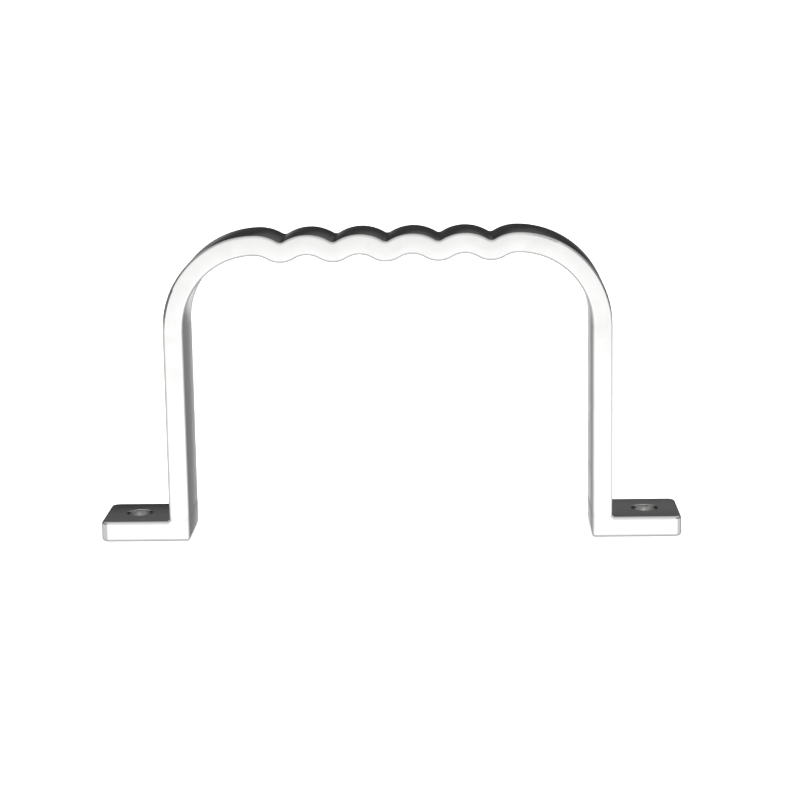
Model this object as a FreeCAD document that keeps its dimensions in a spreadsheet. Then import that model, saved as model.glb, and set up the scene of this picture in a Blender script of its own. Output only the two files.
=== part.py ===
import FreeCAD, Part
import math
import os

import Sketcher

# Grab rail with a finger grip: a polished flat bar, waved and bent into a square-shouldered
# arch, stands on two feet cut from the same bar and is welded to them.
#
# Frame: origin on the deck under the middle of the rail, +X along the rail to the right,
# +Y through the bar from its front edge to its back edge, +Z up. Millimetres.

Y = FreeCAD.Vector(0, 1, 0)
Z = FreeCAD.Vector(0, 0, 1)
ON = 1e-6          # two coordinates this close are the same
CREST_GAPS = 5     # the wave has one crest more than it has gaps between crests

SIZES = (
    ("bar_thickness", 8.0, "flat bar, thin way; the feet are the same stock"),
    ("bar_width", 32.0, "flat bar, wide way"),
    ("overall_height", 121.5, "deck to the top of the crests"),
    ("inside_width", 159.7, "clear gap between the legs"),
    ("finger_pitch", 20.5, "one crest to the next"),
    ("wave_depth", 2.9, "how far the bar dips between two crests"),
    ("valley_radius", 6.1, "middle of the bar where it dips"),
    ("foot_reach", 27.3, "foot, from the outside of the leg to its end"),
    ("foot_corner", 3.2, "foot, corner radius seen from above"),
    ("bolt_hole", 10.5, "hole for a 10 mm or 3/8 in bolt"),
    ("hole_inset", 13.55, "hole centre to the end of the foot"),
    ("hole_break", 0.15, "chamfer on the rims of the hole"),
    ("edge_round", 1.1, "long edges, eased and polished"),
    ("weld_bevel", 2.5, "bevel on the end of the leg, filled with weld"),
    ("weld_cove", 0.8, "hollow that the grinder leaves in the corner over the foot"),
)
SIZE = {name: value for name, value, _ in SIZES}

BEND_RADIUS = "(sizes.inside_width + sizes.bar_thickness - %d * sizes.finger_pitch) / 2" % CREST_GAPS
CENTRE_DROP = "(sizes.finger_pitch ^ 2 / 4 - sizes.wave_depth ^ 2) / (2 * sizes.wave_depth)"


# ---- document helpers ---------------------------------------------------------------------

def make_sheet(doc):
    """The driving dimensions: name, plain number and meaning in columns A, B and C."""
    sheet = doc.addObject("Spreadsheet::Sheet", "sizes")
    for row, (name, value, meaning) in enumerate(SIZES, start=1):
        sheet.set("A%d" % row, name)
        sheet.set("B%d" % row, str(value))
        sheet.set("C%d" % row, meaning)
        sheet.setAlias("B%d" % row, name)
    doc.recompute()


def make_body(doc, name):
    body = doc.addObject("PartDesign::Body", name)
    body.Label = name
    return body


def make_sketch(body, name, role):
    """A sketch on one of the body's own origin planes."""
    plane = next(item for item in body.Origin.OriginFeatures if item.Role == role)
    sketch = body.newObject("Sketcher::SketchObject", name)
    sketch.AttachmentSupport = [(plane, "")]
    sketch.MapMode = "FlatFace"
    return sketch


def drive(sketch, constraint, formula):
    """Add a dimension to a sketch and bind it to the sheet."""
    index = sketch.addConstraint(constraint)
    label = "size_%d" % index
    sketch.renameConstraint(index, label)
    sketch.setExpression("Constraints." + label, formula)


def add_loop(sketch, corners):
    """A closed loop of straight lines through the corners; returns the index of its first line."""
    first = sketch.GeometryCount
    count = len(corners)
    for number in range(count):
        start = FreeCAD.Vector(*corners[number], 0)
        end = FreeCAD.Vector(*corners[(number + 1) % count], 0)
        sketch.addGeometry(Part.LineSegment(start, end), False)
    for number in range(count):
        following = first + (number + 1) % count
        sketch.addConstraint(Sketcher.Constraint("Coincident", first + number, 2, following, 1))
    return first


def add_rectangle(sketch, low, high, half_width):
    """A rectangle from low to high along X and even about the X axis; nothing is dimensioned."""
    first = add_loop(
        sketch, [(low, -half_width), (high, -half_width), (high, half_width), (low, half_width)]
    )
    for number in (0, 2):
        sketch.addConstraint(Sketcher.Constraint("Horizontal", first + number))
    sketch.addConstraint(Sketcher.Constraint("Vertical", first + 1))
    sketch.addConstraint(Sketcher.Constraint("Symmetric", first, 1, first + 3, 1, -1))
    return first


def edge_names(shape, wanted):
    """The names of the edges that pass the test."""
    return ["Edge%d" % number for number, edge in enumerate(shape.Edges, start=1) if wanted(edge)]


def level(edge, axis, value):
    """Whether both ends of the edge have this coordinate."""
    return all(abs(getattr(vertex.Point, axis) - value) < ON for vertex in edge.Vertexes)


def even(edge, axis, value):
    """Whether the edge lies wholly at plus or wholly at minus this coordinate."""
    return level(edge, axis, value) or level(edge, axis, -value)


def above(edge, height):
    return all(vertex.Point.z > height - ON for vertex in edge.Vertexes)


def along(edge, direction):
    """Whether the edge is straight and parallel to the direction."""
    if type(edge.Curve) is not Part.Line:
        return False
    return edge.tangentAt(edge.FirstParameter).cross(direction).Length < ON


def dress(body, kind, name, base, edges, size):
    """Fillet or chamfer the named edges of the feature base by a size from the sheet."""
    feature = body.newObject("PartDesign::" + kind, name)
    feature.Base = (base, edges)
    feature.setExpression("Radius" if kind == "Fillet" else "Size", "sizes." + size)
    body.Document.recompute()
    return feature


def pad(body, sketch, name, length, symmetric=False):
    """Pad a sketch to a length from the sheet, one way or evenly to both sides."""
    feature = body.newObject("PartDesign::Pad", name)
    feature.Profile = sketch
    feature.SideType = "Symmetric" if symmetric else "One side"
    feature.setExpression("Length", length)
    body.Document.recompute()
    return feature


# ---- the bent bar -------------------------------------------------------------------------

def arc(centre, radius, start, end):
    """An arc in sketch coordinates, counterclockwise from start to end, in degrees."""
    circle = Part.Circle(FreeCAD.Vector(*centre, 0), Z, radius)
    return Part.ArcOfCircle(circle, math.radians(start), math.radians(end))


def centreline(sketch):
    """The middle line of the bar, from the foot of the left leg to the foot of the right one.

    It is legs, bends and a wave of equal crests and equal valleys, and every piece runs on
    smoothly from the one before. The bends meet the wave on top of its end crests.
    """
    half_pitch = SIZE["finger_pitch"] / 2
    depth = SIZE["wave_depth"]
    drop = (half_pitch ** 2 - depth ** 2) / (2 * depth)
    valley = SIZE["valley_radius"]
    crest = drop + depth - valley
    slope = math.degrees(math.asin(half_pitch / (crest + valley)))
    end = half_pitch * CREST_GAPS
    leg = (SIZE["inside_width"] + SIZE["bar_thickness"]) / 2
    bend = leg - end
    top = SIZE["overall_height"] - SIZE["bar_thickness"] / 2
    crest_height = top - crest
    valley_height = crest_height + drop
    foot = SIZE["bar_thickness"]

    # Each arc is listed with the end (1 start, 2 finish) where the run from left to right
    # enters it. Crests and bends turn clockwise along the run, valleys counterclockwise.
    run = [(Part.LineSegment(FreeCAD.Vector(-leg, foot, 0), FreeCAD.Vector(-leg, top - bend, 0)), 1)]
    run.append((arc((-end, top - bend), bend, 90, 180), 2))
    for number in range(CREST_GAPS + 1):
        left = 90 if number == 0 else 90 + slope
        right = 90 if number == CREST_GAPS else 90 - slope
        place = -end + number * 2 * half_pitch
        run.append((arc((place, crest_height), crest, right, left), 2))
        if number < CREST_GAPS:
            middle = (place + half_pitch, valley_height)
            run.append((arc(middle, valley, 270 - slope, 270 + slope), 1))
    run.append((arc((end, top - bend), bend, 0, 90), 2))
    run.append((Part.LineSegment(FreeCAD.Vector(leg, top - bend, 0), FreeCAD.Vector(leg, foot, 0)), 1))

    for shape, _ in run:
        sketch.addGeometry(shape, False)
    for number in range(len(run) - 1):
        leaves = 3 - run[number][1]
        enters = run[number + 1][1]
        sketch.addConstraint(Sketcher.Constraint("Tangent", number, leaves, number + 1, enters))

    left_leg, left_bend = 0, 1
    right_leg, right_bend = len(run) - 1, len(run) - 2
    crests = list(range(2, right_bend, 2))
    valleys = list(range(3, right_bend, 2))

    for same in (crests, valleys, [left_bend, right_bend]):
        for other in same[1:]:
            sketch.addConstraint(Sketcher.Constraint("Equal", same[0], other))
    for other in crests[1:-1]:
        sketch.addConstraint(Sketcher.Constraint("Horizontal", crests[0], 3, other, 3))
    for other in valleys[1:]:
        sketch.addConstraint(Sketcher.Constraint("Horizontal", valleys[0], 3, other, 3))
    for number in (left_leg, right_leg):
        sketch.addConstraint(Sketcher.Constraint("Vertical", number))
    for bend_number, leave in ((left_bend, 1), (right_bend, 2)):
        sketch.addConstraint(Sketcher.Constraint("Vertical", bend_number, 3, bend_number, leave))

    half_gap = "(sizes.inside_width + sizes.bar_thickness) / 2"
    middle_top = "sizes.overall_height - sizes.bar_thickness / 2"
    drive(sketch, Sketcher.Constraint("DistanceX", left_leg, 1, -1, 1, leg), half_gap)
    drive(sketch, Sketcher.Constraint("DistanceX", -1, 1, right_leg, 2, leg), half_gap)
    drive(sketch, Sketcher.Constraint("DistanceY", -1, 1, left_leg, 1, foot), "sizes.bar_thickness")
    drive(sketch, Sketcher.Constraint("DistanceY", -1, 1, right_leg, 2, foot), "sizes.bar_thickness")
    drive(sketch, Sketcher.Constraint("DistanceY", -1, 1, crests[0], 2, top), middle_top)
    drive(sketch, Sketcher.Constraint("DistanceY", -1, 1, crests[-1], 1, top), middle_top)
    drive(sketch, Sketcher.Constraint("Radius", left_bend, bend), BEND_RADIUS)
    drive(sketch, Sketcher.Constraint("Radius", valleys[0], valley), "sizes.valley_radius")
    drive(sketch, Sketcher.Constraint("DistanceY", crests[0], 3, valleys[0], 3, drop), CENTRE_DROP)


def make_grip_bar(doc):
    """Flat bar swept along the centreline, with its ends bevelled for the welds."""
    body = make_body(doc, "grip_bar")
    path = make_sketch(body, "bar_centreline", "XZ_Plane")
    centreline(path)

    half_gap = SIZE["inside_width"] / 2
    thickness = SIZE["bar_thickness"]
    width = SIZE["bar_width"]
    section = make_sketch(body, "bar_section", "XY_Plane")
    section.setExpression("AttachmentOffset.Base.z", "sizes.bar_thickness")
    side = add_rectangle(section, -half_gap - thickness, -half_gap, width / 2)
    drive(section, Sketcher.Constraint("DistanceX", side, 2, -1, 1, half_gap), "sizes.inside_width / 2")
    drive(section, Sketcher.Constraint("DistanceX", side, 1, side, 2, thickness), "sizes.bar_thickness")
    drive(section, Sketcher.Constraint("DistanceY", side + 1, 1, side + 1, 2, width), "sizes.bar_width")
    doc.recompute()

    bar = body.newObject("PartDesign::AdditivePipe", "bent_bar")
    bar.Profile = section
    bar.Spine = (path, [])
    bar.Mode = "Binormal"
    bar.Binormal = Y
    doc.recompute()

    ends = edge_names(bar.Shape, lambda edge: level(edge, "z", thickness) and along(edge, Y))
    bevels = dress(body, "Chamfer", "weld_bevels", bar, ends, "weld_bevel")

    bevel_top = thickness + SIZE["weld_bevel"]
    long_edges = edge_names(
        bevels.Shape,
        lambda edge: even(edge, "y", width / 2) and not along(edge, Y) and above(edge, bevel_top),
    )
    dress(body, "Fillet", "eased_edges", bevels, long_edges, "edge_round")
    return body


# ---- feet and welds, drawn for the right leg ----------------------------------------------
#
# Their own frame has its origin under the inside face of the leg, X pointing away from the
# gap. The right ones are moved out to their leg, and the left ones are turned to face left.

def place(body, side):
    """Move a body to its leg: side is 1 for the right leg and -1 for the left one."""
    turn = 0 if side > 0 else 180
    body.Placement = FreeCAD.Placement(FreeCAD.Vector(0, 0, 0), FreeCAD.Rotation(Z, turn))
    body.setExpression("Placement.Base.x", "%d * sizes.inside_width / 2" % side)


def add_block(body, name, low, high, low_size, length_size):
    """A rectangle on the deck from low to high, padded to the thickness of the bar."""
    width = SIZE["bar_width"]
    sketch = make_sketch(body, name + "_outline", "XY_Plane")
    side = add_rectangle(sketch, low, high, width / 2)
    if low_size:
        drive(sketch, Sketcher.Constraint("DistanceX", -1, 1, side, 1, low), low_size)
    else:
        sketch.addConstraint(Sketcher.Constraint("PointOnObject", side, 1, -2))
    drive(sketch, Sketcher.Constraint("DistanceX", side, 1, side, 2, high - low), length_size)
    drive(sketch, Sketcher.Constraint("DistanceY", side + 1, 1, side + 1, 2, width), "sizes.bar_width")
    return pad(body, sketch, name, "sizes.bar_thickness")


def make_foot(doc, name, side):
    """A plate of the same bar, with the heel that the leg stands on and one bolt hole."""
    thickness = SIZE["bar_thickness"]
    end = thickness + SIZE["foot_reach"]
    body = make_body(doc, name)

    plate = add_block(body, "plate", thickness, end, "sizes.bar_thickness", "sizes.foot_reach")
    upright = edge_names(plate.Shape, lambda edge: along(edge, Z) and level(edge, "x", end))
    corners = dress(body, "Fillet", "corners", plate, upright, "foot_corner")
    rim = edge_names(
        corners.Shape, lambda edge: level(edge, "z", thickness) and not level(edge, "x", thickness)
    )
    dress(body, "Fillet", "eased_rim", corners, rim, "edge_round")

    heel = add_block(body, "heel", 0, thickness, None, "sizes.bar_thickness")
    below = edge_names(
        heel.Shape,
        lambda edge: level(edge, "z", 0) or (along(edge, Z) and level(edge, "x", 0)),
    )
    eased = dress(body, "Fillet", "eased_base", heel, below, "edge_round")

    drill = make_sketch(body, "hole_centre", "XY_Plane")
    drill.setExpression("AttachmentOffset.Base.z", "sizes.bar_thickness")
    centre = end - SIZE["hole_inset"]
    mark = Part.Circle(FreeCAD.Vector(centre, 0, 0), Z, SIZE["bolt_hole"] / 2)
    drill.addGeometry(mark, False)
    drill.addConstraint(Sketcher.Constraint("PointOnObject", 0, 3, -1))
    drive(drill, Sketcher.Constraint("Diameter", 0, SIZE["bolt_hole"]), "sizes.bolt_hole")
    reach = "sizes.bar_thickness + sizes.foot_reach - sizes.hole_inset"
    drive(drill, Sketcher.Constraint("DistanceX", -1, 1, 0, 3, centre), reach)
    doc.recompute()
    hole = body.newObject("PartDesign::Hole", "bolt_hole")
    hole.Profile = drill
    hole.setExpression("Diameter", "sizes.bolt_hole")
    hole.DepthType = "ThroughAll"
    doc.recompute()
    rims = edge_names(hole.Shape, lambda edge: edge.isClosed())
    dress(body, "Chamfer", "hole_rims", hole, rims, "hole_break")
    place(body, side)
    return body


def make_gap_side_weld(doc, name, side):
    """Weld that fills the bevel facing the gap, ground flush with leg and foot."""
    bevel = SIZE["weld_bevel"]
    base = SIZE["bar_thickness"]
    body = make_body(doc, name)
    sketch = make_sketch(body, "groove", "XZ_Plane")
    root = add_loop(sketch, [(0, base), (bevel, base), (0, base + bevel)])
    sketch.addConstraint(Sketcher.Constraint("Horizontal", root))
    sketch.addConstraint(Sketcher.Constraint("Vertical", root + 2))
    sketch.addConstraint(Sketcher.Constraint("PointOnObject", root, 1, -2))
    drive(sketch, Sketcher.Constraint("DistanceY", -1, 1, root, 1, base), "sizes.bar_thickness")
    drive(sketch, Sketcher.Constraint("DistanceX", root, 1, root, 2, bevel), "sizes.weld_bevel")
    drive(sketch, Sketcher.Constraint("DistanceY", root + 2, 2, root + 2, 1, bevel), "sizes.weld_bevel")
    bead = pad(body, sketch, "bead", "sizes.bar_width", symmetric=True)
    upright = edge_names(bead.Shape, lambda edge: along(edge, Z))
    dress(body, "Fillet", "eased_ends", bead, upright, "edge_round")
    place(body, side)
    return body


def make_foot_side_weld(doc, name, side):
    """Weld that fills the bevel over the foot, with a small hollow in the corner."""
    bevel = SIZE["weld_bevel"]
    base = SIZE["bar_thickness"]
    cove = SIZE["weld_cove"]
    body = make_body(doc, name)
    sketch = make_sketch(body, "groove", "XZ_Plane")
    root = add_loop(sketch, [(base - bevel, base), (base, base), (base, base + bevel)])
    sketch.addConstraint(Sketcher.Constraint("Horizontal", root))
    sketch.addConstraint(Sketcher.Constraint("Vertical", root + 1))
    drive(sketch, Sketcher.Constraint("DistanceX", -1, 1, root, 2, base), "sizes.bar_thickness")
    drive(sketch, Sketcher.Constraint("DistanceY", -1, 1, root, 2, base), "sizes.bar_thickness")
    drive(sketch, Sketcher.Constraint("DistanceX", root, 1, root, 2, bevel), "sizes.weld_bevel")
    drive(sketch, Sketcher.Constraint("DistanceY", root + 1, 1, root + 1, 2, bevel), "sizes.weld_bevel")
    bead = pad(body, sketch, "bead", "sizes.bar_width", symmetric=True)
    upright = edge_names(bead.Shape, lambda edge: along(edge, Z))
    dress(body, "Fillet", "eased_ends", bead, upright, "edge_round")

    hollow = make_sketch(body, "cove_outline", "XZ_Plane")
    corner = FreeCAD.Vector(base, base, 0)
    toe = FreeCAD.Vector(base + cove, base, 0)
    head = FreeCAD.Vector(base, base + cove, 0)
    hollow.addGeometry(Part.LineSegment(head, corner), False)
    hollow.addGeometry(Part.LineSegment(corner, toe), False)
    hollow.addGeometry(arc((base + cove, base + cove), cove, 180, 270), False)
    hollow.addConstraint(Sketcher.Constraint("Coincident", 0, 2, 1, 1))
    hollow.addConstraint(Sketcher.Constraint("Tangent", 1, 2, 2, 2))
    hollow.addConstraint(Sketcher.Constraint("Tangent", 2, 1, 0, 1))
    hollow.addConstraint(Sketcher.Constraint("Vertical", 0))
    hollow.addConstraint(Sketcher.Constraint("Horizontal", 1))
    drive(hollow, Sketcher.Constraint("Radius", 2, cove), "sizes.weld_cove")
    drive(hollow, Sketcher.Constraint("DistanceX", -1, 1, 0, 2, base), "sizes.bar_thickness")
    drive(hollow, Sketcher.Constraint("DistanceY", -1, 1, 0, 2, base), "sizes.bar_thickness")
    pad(body, hollow, "cove", "sizes.bar_width - 2 * sizes.edge_round", symmetric=True)
    place(body, side)
    return body


# ---- the assembly -------------------------------------------------------------------------

def check(doc, bodies):
    """Stop if any object failed to compute or any sub-part has no valid solid."""
    for item in doc.Objects:
        if "Invalid" in item.State or "Error" in item.State:
            raise RuntimeError("%s did not compute" % item.Name)
    for body in bodies:
        if body.Shape.isNull() or not body.Shape.isValid() or len(body.Shape.Solids) != 1:
            raise RuntimeError("%s is not one valid solid" % body.Label)


def main():
    doc = FreeCAD.newDocument("grab_rail")
    make_sheet(doc)
    bodies = [make_grip_bar(doc)]
    for side_name, side in (("left", -1), ("right", 1)):
        bodies.append(make_foot(doc, side_name + "_foot", side))
        bodies.append(make_gap_side_weld(doc, side_name + "_gap_side_weld", side))
        bodies.append(make_foot_side_weld(doc, side_name + "_foot_side_weld", side))
    doc.recompute()
    check(doc, bodies)
    os.makedirs("parts", exist_ok=True)
    for body in bodies:
        body.Shape.exportStep("parts/%s.step" % body.Label)
        print("%-24s %10.1f mm3" % (body.Label, body.Shape.Volume))


main()
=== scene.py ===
import math

import bmesh
import bpy
from mathutils import Matrix, Vector


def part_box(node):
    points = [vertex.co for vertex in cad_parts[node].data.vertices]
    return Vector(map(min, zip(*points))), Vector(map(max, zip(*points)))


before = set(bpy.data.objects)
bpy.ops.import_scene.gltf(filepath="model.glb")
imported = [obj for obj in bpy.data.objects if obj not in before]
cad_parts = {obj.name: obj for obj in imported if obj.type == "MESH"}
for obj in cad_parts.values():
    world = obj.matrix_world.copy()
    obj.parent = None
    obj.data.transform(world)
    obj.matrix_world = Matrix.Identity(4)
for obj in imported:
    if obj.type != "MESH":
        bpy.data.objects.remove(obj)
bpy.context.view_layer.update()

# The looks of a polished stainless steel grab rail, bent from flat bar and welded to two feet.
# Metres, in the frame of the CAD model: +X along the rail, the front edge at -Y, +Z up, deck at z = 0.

# ---------------------------------------------------------------- sizes read from the frame

MM = 0.001
GRIP_LOW, GRIP_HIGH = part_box("grip_bar")
FOOT_LOW, FOOT_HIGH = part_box("right_foot")
BAR_THICKNESS = FOOT_HIGH.z - FOOT_LOW.z
BAR_WIDTH = GRIP_HIGH.y - GRIP_LOW.y
LEG_X = GRIP_HIGH.x - BAR_THICKNESS / 2
BEND_RADIUS = 32.6 * MM
BEND_X = LEG_X - BEND_RADIUS
BEND_Z = GRIP_HIGH.z - BAR_THICKNESS / 2 - BEND_RADIUS
FINGER_GAPS = 5
FINGER_PITCH = 2 * BEND_X / FINGER_GAPS
WAVE_DEPTH = 2.9 * MM
WAVE_MIDDLE = GRIP_HIGH.z - BAR_THICKNESS / 2 - WAVE_DEPTH / 2
# Polishing crowns the bar's wide faces and its edges by this much. It is in the shading only.
CROWN = 0.3 * MM
EDGE_CROWN = 0.05 * MM

# ---------------------------------------------------------------- camera

# The angles are in radians.
CAMERA_PLACE = Vector((0.0278, -0.8793, 0.2227))
CAMERA_DOWN = 0.1878
CAMERA_LEFT = 0.0295
CAMERA_ROLL = -0.0172
CAMERA_LENS_MM = 102.56
CAMERA_SENSOR_MM = 36.0
CAMERA_NEAR = 0.01
CAMERA_FAR = 20.0

# ---------------------------------------------------------------- studio

# Brightness of the surroundings as (degrees above the horizon, brightness), looking away from
# the rail towards the back, the sides and the front.
BEHIND = (
    (-90, 0.65), (-40, 0.55), (-16, 0.28), (-9, 0.22), (-5, 0.26), (-1, 0.07), (1, 0.04),
    (7.5, 0.028), (11, 0.12), (16, 0.135), (23, 0.07), (35, 0.22), (50, 0.50), (90, 0.75),
)
BEHIND_MIDDLE = (
    (-90, 0.65), (-40, 0.75), (-16, 0.85), (-6, 0.80), (-1, 0.10), (1, 0.04),
    (7.5, 0.028), (11, 0.12), (16, 0.135), (23, 0.07), (35, 0.22), (50, 0.50), (90, 0.75),
)
BESIDE = (
    (-90, 0.65), (-30, 0.78), (-11, 0.88), (-3, 0.55), (4, 0.20),
    (20, 0.25), (35, 0.45), (50, 0.65), (90, 0.75),
)
AHEAD = (
    (-90, 0.65), (-35, 1.20), (-20, 1.70), (-13, 1.60), (-10, 1.50), (-7, 1.32), (-3, 1.20),
    (10, 1.15), (40, 1.00), (70, 0.85), (90, 0.75),
)
# How far towards the back (1) or the front (-1) a direction has to point to see those ramps.
BEHIND_FROM, BEHIND_FULL = 0.10, 0.95
AHEAD_FROM, AHEAD_FULL = -0.76, -0.90
# The lighter strip in the middle of the backdrop fades out this far to each side.
MIDDLE_REACH = 0.13
# The lower edge of the dark backdrop is BACKDROP_TILT higher at TILT_REACH to the left, and as much
# lower to the right.
BACKDROP_TILT = 0.075
TILT_REACH = 0.25
# Below the horizon the bright front reaches further round on the right than on the left, which
# sets in over HORIZON_BLUR degrees to each side of the horizon.
FRONT_TO_RIGHT = 0.35
HORIZON_BLUR = 5.0

FLOOR_RADIUS = 10.0
FLOOR_COLOUR = (0.90, 0.90, 0.90, 1.0)
DOME_RADIUS = 10.0
DOME_STRENGTH = 2.2


class Tree:
    """A node tree that is built one named step at a time."""

    def __init__(self, owner):
        owner.use_nodes = True
        self.nodes = owner.node_tree.nodes
        self.links = owner.node_tree.links
        self.nodes.clear()

    def add(self, kind, inputs=None, **settings):
        node = self.nodes.new(kind)
        for name, value in settings.items():
            setattr(node, name, value)
        for name, value in (inputs or {}).items():
            self.feed(node.inputs[name], value)
        return node

    def feed(self, socket, value):
        if isinstance(value, bpy.types.NodeSocket):
            self.links.new(value, socket)
        else:
            socket.default_value = value

    def math(self, operation, *values):
        node = self.nodes.new("ShaderNodeMath")
        node.operation = operation
        for socket, value in zip(node.inputs, values):
            self.feed(socket, value)
        return node.outputs["Value"]

    def step(self, value, low, high, to_low=0.0, to_high=1.0, kind="SMOOTHSTEP"):
        """value carried from low..high to to_low..to_high, and held at both ends."""
        node = self.add(
            "ShaderNodeMapRange",
            {"Value": value, "From Min": low, "From Max": high, "To Min": to_low, "To Max": to_high},
            interpolation_type=kind,
        )
        return node.outputs["Result"]

    def mix(self, amount, first, second):
        """A number between first and second."""
        node = self.nodes.new("ShaderNodeMix")
        for socket, value in zip(node.inputs, (amount, None, first, second)):
            if value is not None:
                self.feed(socket, value)
        return node.outputs["Result"]

    def vector(self, x, y, z):
        return self.add("ShaderNodeCombineXYZ", {"X": x, "Y": y, "Z": z}).outputs["Vector"]

    def split(self, vector):
        parts = self.add("ShaderNodeSeparateXYZ", {"Vector": vector}).outputs
        return parts["X"], parts["Y"], parts["Z"]

    def noise(self, vector, scale=1.0, detail=2.0, roughness=0.5, distortion=0.0):
        node = self.add(
            "ShaderNodeTexNoise",
            {
                "Vector": vector,
                "Scale": scale,
                "Detail": detail,
                "Roughness": roughness,
                "Distortion": distortion,
            },
        )
        return node.outputs["Fac"]


# ---------------------------------------------------------------- steel

STEEL = (0.70, 0.70, 0.695)

# Length along the bar and width across it of the marks that polishing leaves.
FINE_LINE = (18 * MM, 0.35 * MM)
COARSE_LINE = (60 * MM, 1.4 * MM)
# Scratches follow the edges of long cells, this share of a cell wide, and show only in patches.
SCRATCH_CELL = (26 * MM, 2.6 * MM)
SCRATCH_EDGE = 0.03
SCRATCH_DEPTH = 2e-6
SCRATCH_PATCH = 9 * MM
# Size of the faint ripple and of the smears.
RIPPLE = 7 * MM
SMEAR = 16 * MM

# How much each of them changes the roughness and the tone.
LINES_ROUGHEN = 0.10
SMEARS_ROUGHEN = 0.05
SCRATCHES_ROUGHEN = 0.10
LINES_DARKEN = 0.10
SMEARS_DARKEN = 0.05


def bar_directions(tree):
    """Along, across and out of the bent bar, in metres, for any point on it."""
    place = tree.add("ShaderNodeTexCoord").outputs["Object"]
    x, y, z = tree.split(place)
    side = tree.math("ABSOLUTE", x)
    from_crest = tree.math("SUBTRACT", side, FINGER_PITCH / 2)
    turn = tree.math("MULTIPLY", from_crest, 2 * math.pi / FINGER_PITCH)
    wave = tree.math("MULTIPLY", tree.math("COSINE", turn), WAVE_DEPTH / 2)
    out_of_grip = tree.math("SUBTRACT", z, tree.math("ADD", wave, WAVE_MIDDLE))
    from_bend_x = tree.math("SUBTRACT", side, BEND_X)
    from_bend_z = tree.math("MAXIMUM", tree.math("SUBTRACT", z, BEND_Z), 0.0)
    across_squared = tree.math("MULTIPLY", from_bend_x, from_bend_x)
    above_squared = tree.math("MULTIPLY", from_bend_z, from_bend_z)
    reach = tree.math("SQRT", tree.math("ADD", across_squared, above_squared))
    out_of_leg = tree.math("SUBTRACT", reach, BEND_RADIUS)
    in_grip = tree.math("LESS_THAN", side, BEND_X)
    out = tree.mix(in_grip, out_of_leg, out_of_grip)
    along = tree.math("SUBTRACT", z, side)
    return place, along, y, out


def foot_directions(tree):
    """Along, across and out of a foot, which is cut from the same flat bar."""
    place = tree.add("ShaderNodeTexCoord").outputs["Object"]
    x, y, z = tree.split(place)
    return place, x, y, tree.math("SUBTRACT", z, BAR_THICKNESS / 2)


def steel(name, directions, roughness, line_height, ripple_height):
    """Polished stainless steel with fine lines along the bar, a faint ripple, smears and scratches."""
    material = bpy.data.materials.new(name)
    tree = Tree(material)
    place, along, across, out = directions(tree)

    def stretched(length, width):
        return tree.vector(
            tree.math("DIVIDE", along, length),
            tree.math("DIVIDE", across, width),
            tree.math("DIVIDE", out, width),
        )

    def times(value, amount):
        return tree.math("MULTIPLY", value, amount)

    fine = tree.noise(stretched(*FINE_LINE))
    coarse = tree.noise(stretched(*COARSE_LINE))
    lines = tree.mix(0.5, fine, coarse)
    lines_about_zero = tree.math("SUBTRACT", lines, 0.5)
    ripple = tree.noise(place, scale=1 / RIPPLE, detail=1.0)
    smear = tree.noise(place, scale=1 / SMEAR, detail=4.0, roughness=0.6, distortion=0.6)
    smear = tree.step(smear, 0.40, 0.70)

    cells = tree.add(
        "ShaderNodeTexVoronoi",
        {"Vector": stretched(*SCRATCH_CELL), "Scale": 1.0, "Randomness": 1.0},
        feature="DISTANCE_TO_EDGE",
    ).outputs["Distance"]
    patches = tree.step(tree.noise(place, scale=1 / SCRATCH_PATCH, detail=1.0), 0.52, 0.62)
    scratches = times(tree.step(cells, 0.0, SCRATCH_EDGE, 1.0, 0.0), patches)

    gloss = tree.math("ADD", roughness, times(smear, SMEARS_ROUGHEN))
    gloss = tree.math("ADD", gloss, times(lines_about_zero, LINES_ROUGHEN))
    gloss = tree.math("ADD", gloss, times(scratches, SCRATCHES_ROUGHEN))

    shade = tree.math("ADD", 1.0, times(lines_about_zero, LINES_DARKEN))
    shade = tree.math("SUBTRACT", shade, times(smear, SMEARS_DARKEN))
    tint = tree.add("ShaderNodeVectorMath", {0: STEEL, "Scale": shade}, operation="SCALE")

    def bulge(value, half, height):
        share = tree.math("DIVIDE", value, half)
        return times(times(share, share), height)

    def bump(height, distance, below=None, invert=False):
        inputs = {"Height": height, "Distance": distance, "Strength": 1.0}
        if below is not None:
            inputs["Normal"] = below
        return tree.add("ShaderNodeBump", inputs, invert=invert).outputs["Normal"]

    crown = tree.math(
        "ADD", bulge(across, BAR_WIDTH / 2, CROWN), bulge(out, BAR_THICKNESS / 2, EDGE_CROWN)
    )
    normal = bump(crown, 1.0, invert=True)
    normal = bump(ripple, ripple_height, normal)
    normal = bump(lines, line_height, normal)
    normal = bump(scratches, SCRATCH_DEPTH, normal, invert=True)
    surface = tree.add(
        "ShaderNodeBsdfPrincipled",
        {"Base Color": tint.outputs["Vector"], "Metallic": 1.0, "Roughness": gloss, "Normal": normal},
    )
    tree.add("ShaderNodeOutputMaterial", {"Surface": surface.outputs["BSDF"]})
    return material


def dress(node, material):
    """Gives every material slot of a CAD node the same finish."""
    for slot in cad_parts[node].material_slots:
        slot.material = material


# ---------------------------------------------------------------- floor, background and light


def ramp(tree, elevation, stops):
    """Brightness against elevation in degrees."""
    node = tree.add("ShaderNodeValToRGB", {"Fac": tree.step(elevation, -90.0, 90.0, kind="LINEAR")})
    elements = node.color_ramp.elements
    for number, (degrees, brightness) in enumerate(stops):
        place = (degrees + 90) / 180
        if number < 2:
            element = elements[number]
            element.position = place
        else:
            element = elements.new(place)
        element.color = (brightness, brightness, brightness, 1.0)
    return node.outputs["Color"]


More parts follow.
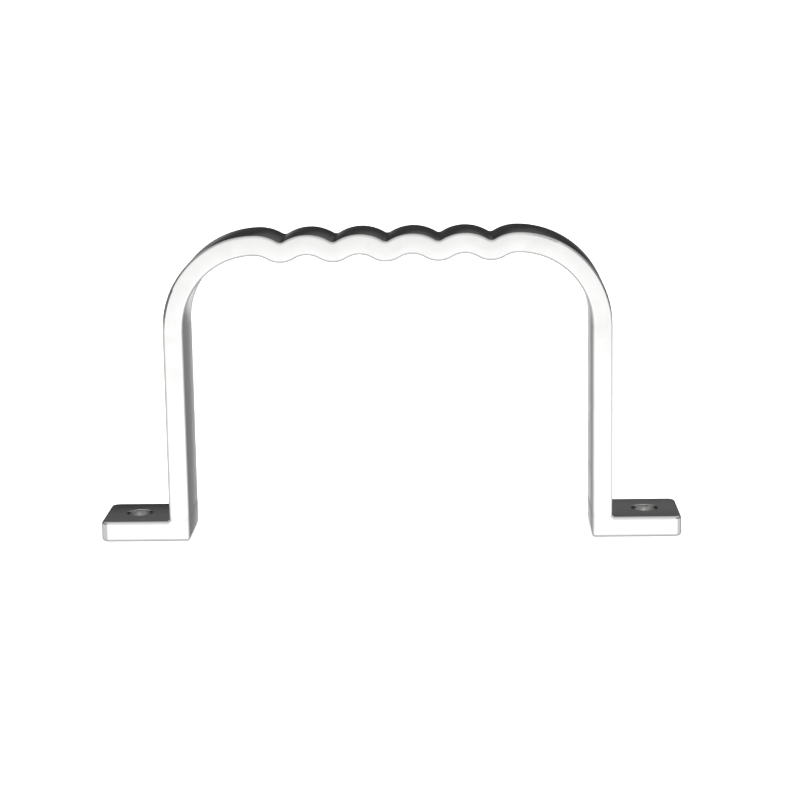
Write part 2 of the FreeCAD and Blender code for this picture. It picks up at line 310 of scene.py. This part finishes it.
def make_surroundings():
    """The soft studio that the steel mirrors: dark behind the rail, bright in front of it."""
    world = bpy.data.worlds.new("studio")
    bpy.context.scene.world = world
    tree = Tree(world)
    direction = tree.add("ShaderNodeTexCoord").outputs["Generated"]
    x, y, z = tree.split(direction)

    def elevation(height):
        return tree.math("DEGREES", tree.math("ARCSINE", height))

    def blend(amount, first, second):
        mix = tree.add("ShaderNodeMixRGB", {"Fac": amount, "Color1": first, "Color2": second})
        return mix.outputs["Color"]

    level = tree.add("ShaderNodeVectorMath", {0: tree.vector(x, y, 0.0)}, operation="NORMALIZE")
    sideways, back = tree.split(level.outputs["Vector"])[:2]
    tilt = tree.step(sideways, -TILT_REACH, TILT_REACH, -BACKDROP_TILT, BACKDROP_TILT, "LINEAR")
    tilted = elevation(tree.math("ADD", z, tilt))
    middle = tree.step(tree.math("ABSOLUTE", sideways), MIDDLE_REACH, 0.0)
    behind = blend(middle, ramp(tree, tilted, BEHIND), ramp(tree, tilted, BEHIND_MIDDLE))
    upright = elevation(z)
    mixed = blend(tree.step(back, BEHIND_FROM, BEHIND_FULL), ramp(tree, upright, BESIDE), behind)
    reach = tree.step(upright, HORIZON_BLUR, -HORIZON_BLUR, 0.0, FRONT_TO_RIGHT)
    to_right = tree.math("MULTIPLY", tree.math("MAXIMUM", sideways, 0.0), reach)
    front = tree.math("SUBTRACT", back, to_right)
    mixed = blend(tree.step(front, AHEAD_FROM, AHEAD_FULL), mixed, ramp(tree, upright, AHEAD))
    glow = tree.add("ShaderNodeBackground", {"Color": mixed, "Strength": 1.0})
    tree.add("ShaderNodeOutputWorld", {"Surface": glow.outputs["Background"]})


def mesh_object(name, shape, material):
    mesh = bpy.data.meshes.new(name)
    shape.to_mesh(mesh)
    shape.free()
    mesh.materials.append(material)
    piece = bpy.data.objects.new(name, mesh)
    bpy.context.scene.collection.objects.link(piece)
    return piece


def make_floor():
    material = bpy.data.materials.new("floor")
    tree = Tree(material)
    paint = tree.add("ShaderNodeBsdfDiffuse", {"Color": FLOOR_COLOUR, "Roughness": 0.0})
    tree.add("ShaderNodeOutputMaterial", {"Surface": paint.outputs["BSDF"]})
    shape = bmesh.new()
    bmesh.ops.create_circle(shape, cap_ends=True, segments=96, radius=FLOOR_RADIUS)
    floor = mesh_object("floor", shape, material)
    floor.visible_glossy = False


def make_background():
    """A plain white dome that lights the floor and fills the view; the steel does not mirror it."""
    material = bpy.data.materials.new("background")
    tree = Tree(material)
    light = tree.add("ShaderNodeEmission", {"Color": (1.0, 1.0, 1.0, 1.0), "Strength": DOME_STRENGTH})
    tree.add("ShaderNodeOutputMaterial", {"Surface": light.outputs["Emission"]})
    shape = bmesh.new()
    bmesh.ops.create_uvsphere(shape, u_segments=48, v_segments=24, radius=DOME_RADIUS)
    dome = mesh_object("background", shape, material)
    dome.visible_glossy = False
    dome.visible_transmission = False
    dome.visible_shadow = False


def make_camera():
    data = bpy.data.cameras.new("camera")
    data.sensor_width = CAMERA_SENSOR_MM
    data.lens = CAMERA_LENS_MM
    data.clip_start = CAMERA_NEAR
    data.clip_end = CAMERA_FAR
    camera = bpy.data.objects.new("camera", data)
    turn = (
        Matrix.Rotation(CAMERA_LEFT, 4, "Z")
        @ Matrix.Rotation(math.pi / 2 - CAMERA_DOWN, 4, "X")
        @ Matrix.Rotation(CAMERA_ROLL, 4, "Z")
    )
    camera.matrix_world = Matrix.Translation(CAMERA_PLACE) @ turn
    bpy.context.scene.collection.objects.link(camera)
    bpy.context.scene.camera = camera


bar_steel = steel("bar_steel", bar_directions, 0.11, line_height=1.2e-6, ripple_height=25e-6)
foot_steel = steel("foot_steel", foot_directions, 0.13, line_height=1.5e-6, ripple_height=20e-6)
weld_steel = steel("weld_steel", foot_directions, 0.20, line_height=3.0e-6, ripple_height=60e-6)

dress("grip_bar", bar_steel)
for side in ("left", "right"):
    dress(side + "_foot", foot_steel)
    dress(side + "_gap_side_weld", weld_steel)
    dress(side + "_foot_side_weld", weld_steel)

make_surroundings()
make_floor()
make_background()
make_camera()

view = bpy.context.scene.view_settings
view.view_transform = "Standard"
view.look = "None"
